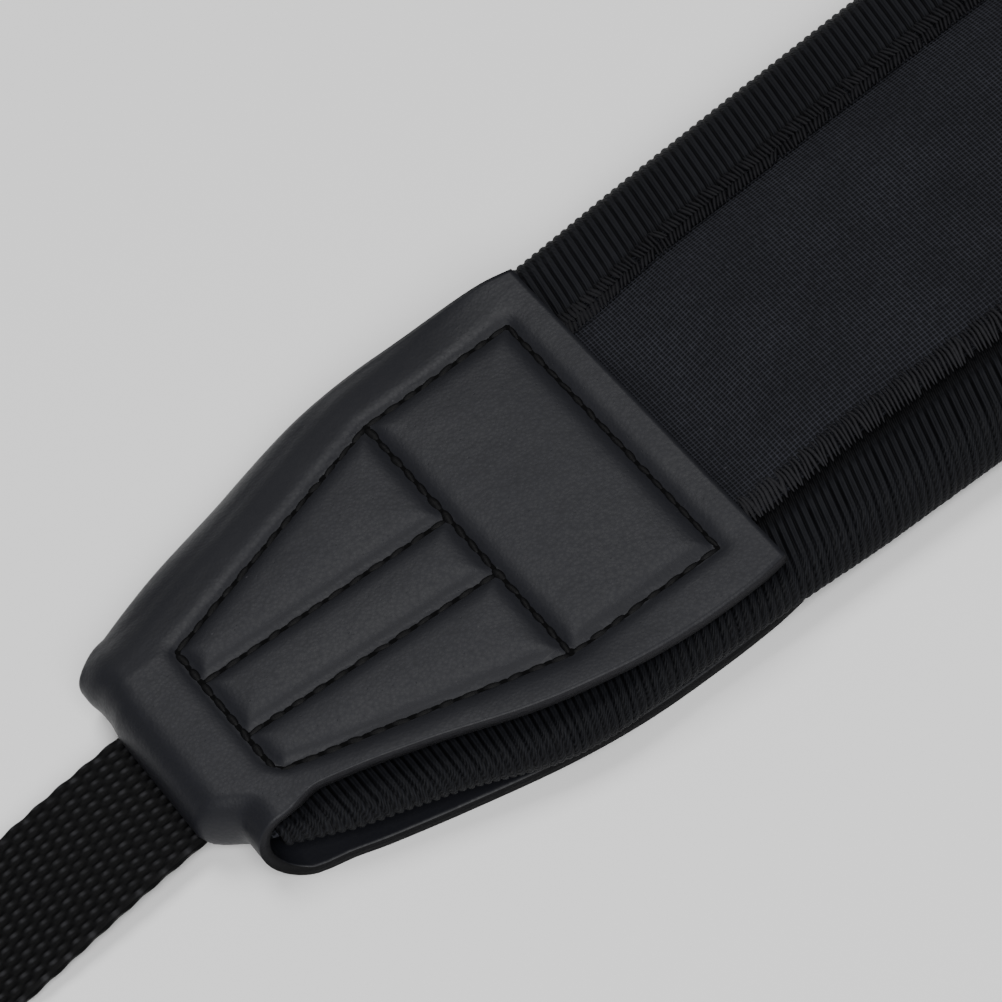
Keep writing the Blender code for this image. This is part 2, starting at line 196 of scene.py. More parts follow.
# Lines of stitching on a tab, as (distance from the wide edge, place across) at both ends
STITCH_LINES = (
    ((STITCH_MARGIN, -STITCHED_HALF), (STITCH_MARGIN, STITCHED_HALF)),
    ((CROSSBAR_FROM_EDGE, -STITCHED_HALF), (CROSSBAR_FROM_EDGE, STITCHED_HALF)),
    ((STITCH_MARGIN, -STITCHED_HALF), (CROSSBAR_FROM_EDGE, -STITCHED_HALF)),
    ((STITCH_MARGIN, STITCHED_HALF), (CROSSBAR_FROM_EDGE, STITCHED_HALF)),
    ((CROSSBAR_FROM_EDGE, -STITCHED_HALF), (NARROW_LINE, -NARROW_HALF)),
    ((CROSSBAR_FROM_EDGE, STITCHED_HALF), (NARROW_LINE, NARROW_HALF)),
    ((NARROW_LINE, -NARROW_HALF), (NARROW_LINE, NARROW_HALF)),
    ((CROSSBAR_FROM_EDGE, -6.2), (NARROW_LINE, -4.2)),
    ((CROSSBAR_FROM_EDGE, 3.7), (NARROW_LINE, 5.0)),
)
# The crossbar and the line by the fold have bolder thread
BOLD_LINES = (1, 6)

# One rib of the binding tape, its height as a share of the relief
RIB_PROFILE = (
    # along, height
    (0.00, 0.00),
    (0.22, 0.84),
    (0.44, 1.00),
    (0.66, 0.90),
    (0.88, 0.12),
)

# Threads of a sewn ridge at each rib: place as a share of the ridge, lean, lift, and shift in pitches
RIDGE_LEAVES = {
    # outward, lean, lift, shift
    "far": ((0.21, -0.30, 0.12, 0.0), (-0.19, 0.42, 0.02, 0.0)),
    "near": ((0.0, 0.22, 0.06, -0.25), (0.02, 0.26, 0.02, 0.25)),
}


class Value:
    """A number that varies over a surface. The operators add Math nodes to its material."""

    def __init__(self, finish, socket):
        self.finish = finish
        self.socket = socket

    def math(self, operation, *others):
        values = dict(enumerate([self, *others]))
        return self.finish.add("ShaderNodeMath", {"operation": operation}, values)

    def __add__(self, other):
        return self.math("ADD", other)

    def __sub__(self, other):
        return self.math("SUBTRACT", other)

    def __mul__(self, other):
        return self.math("MULTIPLY", other)

    def __pow__(self, other):
        return self.math("POWER", other)

    def __rsub__(self, other):
        return (self * -1.0) + other

    def __gt__(self, other):
        return self.math("GREATER_THAN", other)

    __radd__ = __add__
    __rmul__ = __mul__


class Finish:
    """A material being made."""

    def __init__(self, name, slot, colour, roughness, specular):
        self.slot = slot
        self.material = bpy.data.materials.new(name)
        self.material.use_nodes = True
        self.tree = self.material.node_tree
        self.shader = self.tree.nodes["Principled BSDF"]
        self.shader.inputs["Base Color"].default_value = (*colour, 1.0)
        self.shader.inputs["Roughness"].default_value = roughness
        self.shader.inputs["Specular IOR Level"].default_value = specular
        self.material.diffuse_color = (*colour, 1.0)

    def add(self, kind, settings=None, values=None, output=0):
        """Adds a node: its settings first, then what goes into its sockets. Gives one output."""
        node = self.tree.nodes.new(kind)
        for setting, value in (settings or {}).items():
            if setting == "stops":
                self.set_stops(node, value)
            else:
                setattr(node, setting, value)
        for socket, value in (values or {}).items():
            if isinstance(value, Value):
                self.tree.links.new(value.socket, node.inputs[socket])
            else:
                node.inputs[socket].default_value = value
        return Value(self, node.outputs[output])

    def set_stops(self, node, stops):
        """Grey stops of a ramp, as (position, level)."""
        ramp = node.color_ramp
        while len(ramp.elements) > len(stops):
            ramp.elements.remove(ramp.elements[-1])
        for index, (position, level) in enumerate(stops):
            if index < len(ramp.elements):
                element = ramp.elements[index]
                element.position = position
            else:
                element = ramp.elements.new(position)
            element.color = (level, level, level, 1.0)

    def object_place(self):
        """Place on the object, in metres."""
        return self.add("ShaderNodeTexCoord", output="Object")

    def cloth_place(self):
        """Place on the piece's own cloth, in metres along and across."""
        return self.add("ShaderNodeTexCoord", output="UV")

    def stretched(self, place, scale, turn=0.0):
        """Place with another scale on each axis, turned about Z."""
        values = {"Vector": place, "Scale": scale, "Rotation": (0, 0, turn)}
        return self.add("ShaderNodeMapping", None, values)

    def part(self, place, axis):
        """One axis of a place."""
        return self.add("ShaderNodeSeparateXYZ", None, {"Vector": place}, output=axis)

    def noise(self, place, scale, detail=2.0):
        """Soft noise from 0 to 1."""
        return self.add("ShaderNodeTexNoise", None, {"Vector": place, "Scale": scale, "Detail": detail})

    def grain(self, place, scale):
        """Distance to the nearest of scattered points."""
        return self.add("ShaderNodeTexVoronoi", None, {"Vector": place, "Scale": scale}, output="Distance")

    def specks(self, place, scale, patches, least):
        """Small specks, only where a soft noise of the scale patches is above the least."""
        dots = self.ramp(self.grain(place, scale), (0.0, 1.0), (0.05, 0.0))
        return dots * (self.noise(place, patches) > least)

    def ramp(self, value, *stops):
        """Value passed through grey stops."""
        return self.add("ShaderNodeValToRGB", {"stops": stops}, {"Fac": value})

    def colour_mix(self, factor, first, second):
        """Colour between two colours."""
        values = {0: factor, 6: first, 7: second}
        for index in (6, 7):
            if isinstance(values[index], tuple):
                values[index] = (*values[index], 1.0)
        return self.add("ShaderNodeMix", {"data_type": "RGBA"}, values, output=2)

    def wave(self, value, period):
        """Smooth ribs: 0 at each whole period of a value in metres, and 1 between."""
        return (value * (2 * math.pi / (period * MM))).math("COSINE") * -0.5 + 0.5

    def bump(self, height, depth, under=None):
        """Relief of a height from 0 to 1, its depth in millimetres."""
        values = {"Height": height, "Distance": depth * MM, "Strength": 1.0}
        if under:
            values["Normal"] = under
        return self.add("ShaderNodeBump", None, values)

    def into(self, socket, value):
        """Feeds a value to the shader."""
        self.tree.links.new(value.socket, self.shader.inputs[socket])


def knit_finish():
    """Pad's face: a fine black knit, a square grid of raised threads round small dark holes."""
    finish = Finish("pad_fabric", "pad_fabric", (0.008, 0.009, 0.012), 0.8, 0.12)
    place = finish.object_place()
    waver = finish.noise(place, 420.0, 2.0)
    along = finish.part(place, "X") + waver * 0.00012
    across = finish.part(place, "Y") + waver * 0.00012
    courses = finish.wave(along, KNIT_COURSE) ** 1.6
    wales = finish.wave(across, KNIT_WALE / 2) ** 1.6 * (finish.wave(across, KNIT_WALE) * 0.6 + 0.55)
    threads = 1.0 - (1.0 - courses) * (1.0 - wales)
    mottle = finish.noise(place, 120.0, 3.0)
    lint = finish.specks(place, 240.0, 75.0, 0.56)
    patchiness = finish.noise(place, 1500.0, 2.0) * 1.3 + 0.35
    lit = threads * (mottle * 0.7 + 0.4) * patchiness
    shade = finish.colour_mix(lit, (0.0028, 0.0030, 0.0042), (0.0235, 0.0245, 0.0310))
    finish.into("Base Color", finish.colour_mix(lint * 0.3, shade, (0.09, 0.09, 0.10)))
    finish.into("Roughness", mottle * 0.16 + 0.68)
    finish.into("Normal", finish.bump(threads, 0.22, finish.bump(finish.noise(place, 150.0, 2.0), 0.3)))
    return finish


def tape_finish(word):
    """Binding tape: black ribs of two threads each, dark between them, with fine fibres along them, and
    painted shade in the groove before the rib heads.
    """
    finish = Finish("binding_tape_" + word, "binding_tape", (0.002, 0.002, 0.003), 0.6, 0.1)
    cloth = finish.cloth_place()
    along = finish.part(cloth, "X")
    run = finish.part(cloth, "Y")
    rib = finish.wave(along, RIB_PITCH[word]) ** 0.5
    threads = finish.wave(along, RIB_PITCH[word] / 2)
    fibre = finish.noise(finish.stretched(cloth, (4200.0, 420.0, 1.0)), 1.0, 3.0)
    patches = finish.noise(finish.object_place(), 80.0, 3.0)
    waver = finish.noise(finish.object_place(), 260.0, 2.0) * 0.0018
    low = finish.ramp(run * 90.0, (0.0, 0.0), (0.55, 0.0), (0.9, 1.0))
    streaks = finish.noise(finish.stretched(cloth, (2600.0, 260.0, 1.0)), 1.0, 3.0)
    slanted = finish.wave(along + run * 0.55 + waver, 0.4) * streaks
    upper = rib * (threads * 0.45 + fibre * 0.6 + patches * 0.35)
    # Painted shade: the tape is darkened in the groove between the ridge and the rib heads
    painted_groove_shade = finish.ramp(run * (0.5 / (HEADS_FROM[word] * MM)), (0.35, 0.1), (0.6, 1.0))
    lit = (upper * (1.0 - low) + (slanted * 0.9 + rib * 0.25) * low) * painted_groove_shade
    finish.into("Base Color", finish.colour_mix(lit, (0.0008, 0.0008, 0.0012), (0.0105, 0.0112, 0.0140)))
    finish.into("Roughness", fibre * 0.25 + 0.5)
    relief = threads * (1.0 - low) + slanted * low
    finish.into("Normal", finish.bump(relief, 0.12, finish.bump(fibre, 0.06)))
    return finish


def thread_finish(name, slot, colour, roughness):
    """Sewing thread: twisted strands."""
    finish = Finish(name, slot, colour, roughness, 0.12)
    strands = finish.noise(finish.object_place(), 2600.0, 2.0)
    dark = tuple(level * 0.35 for level in colour)
    finish.into("Base Color", finish.colour_mix(strands, dark, colour))
    finish.into("Roughness", strands * 0.25 + (roughness - 0.12))
    finish.into("Normal", finish.bump(strands, 0.06))
    return finish


def leather_finish():
    """Tab's grain side: satin black leather, faint grain, dust and a few fine scratches."""
    finish = Finish("tab_leather", "tab_leather", (0.0085, 0.0088, 0.0112), 0.5, 0.22)
    place = finish.object_place()
    pebbles = finish.grain(place, 2300.0)
    pores = finish.ramp(finish.grain(place, 900.0), (0.0, 0.0), (0.11, 1.0))
    cloud = finish.noise(place, 55.0, 4.0)
    dust = finish.specks(place, 330.0, 130.0, 0.53)
    long_way = finish.stretched(place, (130.0, 2600.0, 300.0), 0.5)
    scratch = finish.ramp(finish.noise(long_way, 1.0, 2.0), (0.0, 0.0), (0.70, 0.0), (0.76, 1.0))
    scratches = scratch * (finish.noise(place, 36.0) > 0.54)
    shade = finish.colour_mix(cloud, (0.0075, 0.0079, 0.0104), (0.0102, 0.0107, 0.0140))
    marked = finish.colour_mix(scratches * 0.3, shade, (0.03, 0.03, 0.033))
    finish.into("Base Color", finish.colour_mix(dust * 0.4, marked, (0.13, 0.13, 0.14)))
    finish.into("Roughness", cloud * 0.14 + pebbles * 0.1 + 0.36)
    relief = finish.bump(pebbles, 0.016, finish.bump(cloud, 0.5))
    finish.into("Normal", finish.bump(pores, 0.02, relief))
    return finish


def edge_finish():
    """Leather's cut edge: matte and a little lighter, with its layers showing, and blacker low down with
    painted shade.
    """
    finish = Finish("leather_edge", "tab_leather", (0.012, 0.012, 0.014), 0.8, 0.15)
    place = finish.object_place()
    fibres = finish.noise(finish.stretched(place, (900.0, 900.0, 4200.0)), 1.0, 4.0)
    # Painted shade: the edge is blackest below about 1.7 mm and at its full colour from about 7.5 mm up
    high = finish.ramp(finish.part(place, "Z") * 120.0, (0.2, 0.0), (0.9, 1.0))
    layers = finish.colour_mix(fibres, (0.004, 0.004, 0.005), (0.018, 0.018, 0.021))
    finish.into("Base Color", finish.colour_mix(high, (0.0018, 0.0018, 0.0024), layers))
    finish.into("Roughness", fibres * 0.25 + 0.6)
    finish.into("Normal", finish.bump(fibres, 0.12))
    return finish


def webbing_finish():
    """Woven nylon: fine fibres along each float, with a painted highlight on its crown, lighter in patches.
    """
    finish = Finish("webbing_nylon", "webbing_nylon", (0.0015, 0.0015, 0.0018), 0.55, 0.09)
    cloth = finish.cloth_place()
    fibre = finish.noise(finish.stretched(cloth, (700.0, 9000.0, 1.0)), 1.0, 2.0)
    highlight_and_roughness_noise = finish.noise(finish.object_place(), 700.0, 3.0)
    # Painted highlight: each float's crown, on both faces, is made lighter in patches
    crown = finish.add("ShaderNodeAttribute", {"attribute_name": "crown"}, output="Fac")
    patchiness = finish.ramp(highlight_and_roughness_noise, (0.0, 0.2), (0.35, 0.45), (0.65, 1.5))
    lit = crown * (fibre * 0.5 + patchiness * 1.1)
    finish.into("Base Color", finish.colour_mix(lit, (0.0003, 0.0003, 0.0005), (0.0175, 0.0175, 0.0195)))
    finish.into("Roughness", fibre * 0.2 + highlight_and_roughness_noise * 0.12 + 0.4)
    finish.into("Normal", finish.bump(fibre, 0.06))
    return finish


def plastic_finish():
    """Moulded slider: fine spark texture, and soft patches a little lighter and rougher."""
    finish = Finish("slider_plastic", "slider_plastic", (0.0045, 0.0045, 0.0052), 0.45, 0.25)
    place = finish.object_place()
    spark = finish.noise(place, 2600.0, 3.0)
    rub = finish.noise(place, 180.0, 3.0)
    finish.into("Base Color", finish.colour_mix(rub, (0.0035, 0.0035, 0.0042), (0.0065, 0.0065, 0.0074)))
    finish.into("Roughness", rub * 0.2 + 0.32)
    finish.into("Normal", finish.bump(spark, 0.04))
    return finish


def ease(value):
    """Eased step from 0 to 1."""
    t = np.clip(value, 0.0, 1.0)
    return t * t * (3 - 2 * t)


def on_table(table, column, along):
    """Value of a column at shares along the table, on a smooth curve through its rows."""
    rows = np.array(table)
    x, y = rows[:, 0], rows[:, column]
    slope = np.empty_like(y)
    slope[1:-1] = (y[2:] - y[:-2]) / (x[2:] - x[:-2])
    slope[0] = (y[1] - y[0]) / (x[1] - x[0])
    slope[-1] = (y[-1] - y[-2]) / (x[-1] - x[-2])
    along = np.clip(along, x[0], x[-1])
    row = np.clip(np.searchsorted(x, along, "right") - 1, 0, len(x) - 2)
    span = x[row + 1] - x[row]
    t = (along - x[row]) / span
    return (
        (2 * t**3 - 3 * t**2 + 1) * y[row]
        + (t**3 - 2 * t**2 + t) * slope[row] * span
        + (3 * t**2 - 2 * t**3) * y[row + 1]
        + (t**3 - t**2) * slope[row + 1] * span
    )


def pressed(x):
    """0 where the pad shows and 1 where the leather presses it down."""
    return ease((np.abs(x) - (PAD_HALF_SEEN - PAD_EASE)) / (PAD_EASE - PAD_EASE_LEAD))


def pad_half_width(x):
    """Half the bound pad's width."""
    away = np.abs(x)
    swell = (PAD_MIDDLE_WIDTH - PAD_NECK_WIDTH) / 2
    shown = PAD_MIDDLE_WIDTH / 2 - swell * (away / PAD_HALF_SEEN) ** 2
    inside = PAD_NECK_WIDTH / 2 * on_table(PAD_OUTLINE, 1, (away - PAD_HALF_SEEN) / PAD_IN_TAB)
    return np.where(away <= PAD_HALF_SEEN, shown, inside)


def pad_bow(x):
    """How far the pad's middle line lies to the far side of the tabs' axis."""
    return PAD_BOW * np.clip(1 - (np.asarray(x) / PAD_HALF_SEEN) ** 2, 0, None)


def pad_base(x):
    """Underside of the bound pad."""
    on_webbing = ease((np.abs(x) - (TIP_X - WEB_INSIDE - PAD_EASE)) / (PAD_EASE - PAD_EASE_LEAD))
    return (LEATHER + GAP) * pressed(x) + (WEB_THICKNESS + GAP) * on_webbing


def pad_top(x):
    """Top of the bound pad."""
    under_leather = TAB_HEIGHT - LEATHER - QUILT_ROOM - GAP
    return PAD_EDGE_THICKNESS + (under_leather - PAD_EDGE_THICKNESS) * pressed(x)


def pad_middle(x):
    """Height of the pad's middle, and half its thickness."""
    return (pad_base(x) + pad_top(x)) / 2, (pad_top(x) - pad_base(x)) / 2


def cloth_grid(name, places, cloth=None, crown=None):
    """Grid of faces with its corners at places[row, across], their flat places and how much painted
    highlight they get.
    """
    rows, across = places.shape[:2]
    bm = bmesh.new()
    bmesh.ops.create_grid(bm, x_segments=rows - 1, y_segments=across - 1, size=0.5)
    mesh = bpy.data.meshes.new(name)
    bm.to_mesh(mesh)
    bm.free()
    start = np.empty(len(mesh.vertices) * 3)
    mesh.vertices.foreach_get("co", start)
    start = start.reshape(-1, 3)
    row = np.rint((start[:, 0] + 0.5) * (rows - 1)).astype(int)
    column = np.rint((start[:, 1] + 0.5) * (across - 1)).astype(int)
    mesh.vertices.foreach_set("co", (places[row, column] * MM).ravel())
    if crown is not None:
        mesh.attributes.new("crown", "FLOAT", "POINT").data.foreach_set("value", crown[row, column])
    if cloth is not None:
        corner = np.empty(len(mesh.loops), dtype=np.int32)
        mesh.loops.foreach_get("vertex_index", corner)
        layer = mesh.uv_layers.new(name="cloth")
        layer.data.foreach_set("uv", (cloth[row, column][corner] * MM).ravel())
    return mesh


def sealed(mesh):
    """Welds a grid that closes on itself, caps its ends and turns its faces outwards."""
    bm = bmesh.new()
    bm.from_mesh(mesh)
    bmesh.ops.remove_doubles(bm, verts=bm.verts, dist=1e-6)
    capped = bmesh.ops.holes_fill(bm, edges=[edge for edge in bm.edges if edge.is_boundary])
    bmesh.ops.triangulate(bm, faces=capped["faces"])
    bmesh.ops.recalc_face_normals(bm, faces=bm.faces)
    bm.to_mesh(mesh)
    bm.free()
    return mesh


def dressed(name, mesh, finishes, smooth_angle=50):
    """Object of a mesh made about the tabs' axis, moved to its place on the strap's one body."""
    mesh.transform(Matrix.Translation((0, -PAD_BOW * MM, 0)))
    piece = bpy.data.objects.new(name, mesh)
    bpy.context.scene.collection.objects.link(piece)
    for finish in finishes:
        mesh.materials.append(finish.material)
    mesh.shade_smooth()
    mesh.set_sharp_from_angle(angle=math.radians(smooth_angle))
    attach(piece, "root")
    return piece


def scattered(name, seed_mesh, matrices, finishes):
    """Many copies of one small mesh, joined."""
    bm = bmesh.new()
    for matrix in matrices:
        copy = seed_mesh.copy()
        copy.transform(matrix)
        bm.from_mesh(copy)
        bpy.data.meshes.remove(copy)
    mesh = bpy.data.meshes.new(name)
    bm.to_mesh(mesh)
    bm.free()
    return dressed(name, mesh, finishes, 80)


def small_bead(name, size, around, along, hook=0.0):
    """Rounded bead, its length along X. A hook bends its inner end sideways and both ends down."""
    bm = bmesh.new()
    bmesh.ops.create_uvsphere(bm, u_segments=around, v_segments=along, radius=0.5)
    bmesh.ops.rotate(bm, verts=bm.verts, matrix=Matrix.Rotation(math.pi / 2, 3, "Y"))
    bmesh.ops.scale(bm, verts=bm.verts, vec=[length * MM for length in size])
    for vert in bm.verts:
        inward = max(-vert.co.x / (size[0] * MM / 2) - 0.1, 0.0)
        vert.co.y += hook * MM * inward**2
        outward = max(vert.co.x / (size[0] * MM / 2) - 0.2, 0.0)
        vert.co.z -= abs(hook) * MM * (0.6 * inward**3 + 0.9 * outward**2)
    mesh = bpy.data.meshes.new(name)
    bm.to_mesh(mesh)
    bm.free()
    return mesh


def make_pad(finish):
    """Knit pad: its upper face a little crowned between the sewn ridges, and both faces tucked under the
    binding.
    """
    stations = np.linspace(-1, 1, PAD_STATIONS) * (PAD_HALF_SEEN + PAD_IN_TAB)
    middle, half_height = pad_middle(stations)
    half_width = pad_half_width(stations)
    panel_edge = half_width - BINDING_REACH - RIDGE_WIDTH / 2
    across = np.linspace(-1, 1, PANEL_COLUMNS)
    crown = PANEL_CROWN * (1 - np.abs(across) ** PANEL_CROWN_POWER)
    rng = np.random.default_rng(4)
    # Slow waves of the face, laid over each other
    slow = np.zeros((len(stations), len(across)))
    for phase in rng.uniform(0, 6.28, PANEL_WAVES):
        swell = stations[:, None] / rng.uniform(9, 30) + across * rng.uniform(-4, 4) + phase
        slow += rng.uniform(0.02, 0.07) * np.sin(swell)
    shown = (1 - pressed(stations))[:, None]
    top = shown * (crown + slow * (1 - across**2)) + half_height[:, None] - PANEL_SET
    turn = np.linspace(math.pi / 2, -math.pi / 2, 9)
    inner = half_height - BINDING_WALL - GAP
    rows = []
    bow = pad_bow(stations)
    for row, x in enumerate(stations):
        ring = [(x, y * panel_edge[row], middle[row] + z) for y, z in zip(across, top[row])]
        centre = half_width[row] - half_height[row]
        arc = [(centre + inner[row] * math.cos(a), middle[row] + inner[row] * math.sin(a)) for a in turn]
        ring += [(x, y, z) for y, z in arc]
        low = half_height[row] - PANEL_SET
        ring += [(x, -y * panel_edge[row], middle[row] - low) for y in across]
        ring += [(x, -y, z) for y, z in arc[::-1]]
        ring.append(ring[0])
        rows.append([(x, y + bow[row], z) for x, y, z in ring])
    mesh = sealed(cloth_grid("knit_pad", np.array(rows)))
    pad = dressed("knit_pad", mesh, [finish])
    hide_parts("pad")


def make_binding(word, sideways, finish):
    """Ribbed tape round one long edge. Each rib starts in a rounded head beside the sewn ridge."""
    rng = np.random.default_rng(11 + sideways)
    pitch = RIB_PITCH[word]
    end = PAD_HALF_SEEN + PAD_IN_TAB - TAPE_SHORT
    ribs = np.arange(-math.floor(end / pitch), math.floor(end / pitch))
    share, round_top = np.array(RIB_PROFILE).T
    strength = rng.uniform(0.9, 1.08, len(ribs))
    wander = rng.normal(0, 0.02, len(ribs))
    along = ((ribs + wander)[:, None] + share).ravel() * pitch
    highest = RIB_RELIEF[word]
    relief = (strength[:, None] * round_top).ravel() * highest
    turn = np.linspace(math.pi / 2, -math.pi / 2, TAPE_TURN_STEPS)
    inner_turn = turn[::2][::-1]
    rows = []
    cloth = []
    for x, lift in zip(along, relief):
        outside = []
        away = abs(x) - PAD_HALF_SEEN
        bulge = 0.0
        if sideways < 0:
            risen = ease((away - BULGE_START) / BULGE_RISE)
            bulge = TAPE_BULGE * float(risen * (1 - ease((away - BULGE_END) / BULGE_FALL)))
        lean_here = sideways * RIB_LEAN[word] * (1 - float(ease((away - LEAN_START) / LEAN_FADE)))
        reach = pad_half_width(x) + bulge
        middle, half_height = pad_middle(x)
        ridge = reach - BINDING_REACH + RIDGE_WIDTH * 0.5
        centre = reach - half_height
        for step in TAPE_FLAT_STEPS[:-1]:
            outside.append((ridge + (centre - ridge) * step, half_height, 0.0, 1.0))
        for angle in turn:
            out, up = math.cos(angle), math.sin(angle)
            outside.append((centre + half_height * out, half_height * up, out, up))
        for step in TAPE_FLAT_STEPS[-2::-2]:
            outside.append((ridge + (centre - ridge) * step, -half_height, 0.0, -1.0))
        ring = []
        flat_places = []
        run = 0.0
        before = outside[0]
        bow = pad_bow(x)
        for y, z, out, up in outside:
            run += math.hypot(y - before[0], z - before[1])
            before = (y, z)
            head = float(ease((run - HEADS_FROM[word]) / HEAD_LENGTH))
            depth = lift * head - highest - TAPE_GROOVE * (1 - head)
            lean = x + lean_here * run
            ring.append((lean, bow + sideways * (y + out * depth), middle + z + up * depth))
            flat_places.append((x, run))
        wall = half_height - BINDING_WALL
        inner = [(ridge, -wall)]
        inner += [(centre + wall * math.cos(angle), wall * math.sin(angle)) for angle in inner_turn]
        inner.append((ridge, wall))
        for share_in, (y, z) in enumerate(inner):
            lean = x + lean_here * run * (1 - share_in / (len(inner) - 1))
            ring.append((lean, bow + sideways * y, middle + z))
            flat_places.append((x, 0.0))
        ring.append(ring[0])
        flat_places.append(flat_places[0])
        rows.append(ring)
        cloth.append(flat_places)
    name = "ribbed_binding_" + word
    binding = dressed(name, sealed(cloth_grid(name, np.array(rows), np.array(cloth))), [finish], 60)
    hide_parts("binding_" + word)


def make_ridges(word, sideways, finish):
    """Sewn ridge along the binding's inner edge, on both faces.

    The far ridge is plaited, two slanted leaves of doubled thread at each rib. The near ridge is a row of
    long loops, two at each rib, hooked over at their inner ends.
    """
    rng = np.random.default_rng(31 + sideways)
    pitch = RIB_PITCH[word]
    count = math.floor((PAD_HALF_SEEN + RIDGE_IN_TAB) / pitch)
    reach = RIDGE_REACH[word]
    centre_shift = (reach - RIDGE_WIDTH) / 2 * (1 if word == "near" else 0)
    if word == "far":
        strand = small_bead("ridge_strand", (reach * 0.62, 0.5, 0.6), 6, 5)
        scatter = 0.12
    else:
        strand = small_bead("ridge_strand", (reach * 1.08, 0.44, 0.66), 6, 7, hook=-0.6)
        scatter = 0.06
    places = []
    for face in (1, -1):
        for index in range(-count, count + 1):
            x = (index + 0.5 + rng.normal(0, 0.05)) * pitch
            shrink = 1 - RIDGE_SHRINK * float(pressed(x))
            middle, half_height = pad_middle(x)
            ridge = float(pad_half_width(x)) - BINDING_REACH + centre_shift
            for outward, lean, lift, shift in RIDGE_LEAVES[word]:
                slant = math.atan2(sideways, sideways * lean + rng.normal(0, scatter))
                doubled = (-0.5, 0.5) if word == "far" and face > 0 else (0.0,)
                for strand_side in doubled:
                    height = float(middle) + float(half_height) + (0.1 + lift) * shrink
                    size = Matrix.Diagonal((rng.uniform(0.93, 1.05), rng.uniform(0.85, 1.15), shrink, 1))
                    if face < 0:
                        height = RIDGE_HEIGHT_BELOW
                        size = Matrix.Rotation(math.pi, 4, "X") @ Matrix.Diagonal(RIDGE_PRESSED)
                    beside = strand_side * 0.5 + shift * pitch
                    y = float(pad_bow(x)) + sideways * (ridge + outward * reach)
                    rise, tilt = rng.normal(0, 0.03), rng.normal(0, 3)
                    where = Vector((x + beside, y, height + max(face, 0) * rise)) * MM
                    tip = Matrix.Rotation(math.radians(max(face, 0) * tilt), 4, "Y")
                    places.append(Matrix.Translation(where) @ Matrix.Rotation(slant, 4, "Z") @ tip @ size)
    scattered("sewn_ridge_" + word, strand, places, [finish])


def line_distance(along, across):
    """Distance to the nearest line of stitching on a tab."""
    nearest = np.full(np.broadcast(along, across).shape, 1e3)
    for (x0, y0), (x1, y1) in STITCH_LINES:
        run = np.array((x1 - x0, y1 - y0))
        length = np.hypot(*run)
        t = np.clip(((along - x0) * run[0] + (across - y0) * run[1]) / length**2, 0, 1)
        nearest = np.minimum(nearest, np.hypot(along - x0 - t * run[0], across - y0 - t * run[1]))
    return nearest


def sewn_half(along):
    """Half the width of a tab's sewn outline."""
    share = np.clip((along - CROSSBAR_FROM_EDGE) / (NARROW_LINE - CROSSBAR_FROM_EDGE), 0, 1)
    return STITCHED_HALF + (NARROW_HALF - STITCHED_HALF) * share


def sewn_field(along, across):
    """1 inside the sewn outline of a tab, falling to 0 outside it."""
    half = sewn_half(along)
    inside_ends = ease((along - STITCH_MARGIN) + 1) * ease((NARROW_LINE - along) + 1)
    return inside_ends * ease(half - np.abs(across) + 1)


def tab_top(along, across):
    """Height of a tab's upper face: quilted cells, sunk stitch lines, and a roll over the pad's edge."""
    away = line_distance(along, across)
    sewn = sewn_field(along, across)
    puffed, margin = (most * (1 - np.exp(-away / reach)) for most, reach in (QUILT_PUFF, MARGIN_PUFF))
    standing = puffed * sewn + margin * (1 - sewn)
    sunk = sum(depth * np.exp(-((away / reach) ** 2)) for depth, reach in (GROOVE_WIDE, GROOVE_NARROW))
    x = PAD_HALF_SEEN + along
    middle, half_height = pad_middle(x)
    # The near strip rolls over the pad's round edge, but not all the way down
    bend = half_height + GAP + LEATHER
    beyond = np.clip(np.abs(across) - (pad_half_width(x) - half_height), 0, bend * 0.85)
    fall = bend - np.sqrt(bend**2 - beyond**2)
    # The far strip bends wider, slopes away from the stitching, and falls less near the fold
    far_beyond = np.clip(across - (pad_half_width(x) - 3), 0, 8)
    far_fall = FAR_BEND - np.sqrt(FAR_BEND**2 - far_beyond**2)
    far_fall = far_fall + FAR_SLOPE * np.clip(across - sewn_half(along) - 0.6, 0, 7) * ease(along / 18)
    far_fall = far_fall * (1 - 0.3 * ease((along - 40) / 16))
    # The near edge curls up over the opening, in the middle of its length
    near_edge = TAB_WIDTH / 2 * on_table(TAB_OUTLINE, TAB_NEAR, along / TAB_LENGTH)
    curl = ease((along - 12) / 14) * ease((TAB_LENGTH - 6 - along) / 16)
    lift = NEAR_CURL * curl * ease((-across - near_edge + 7) / 7)
    return TAB_HEIGHT + standing - sunk - far_fall - NEAR_FALL * fall * (across < 0) + lift


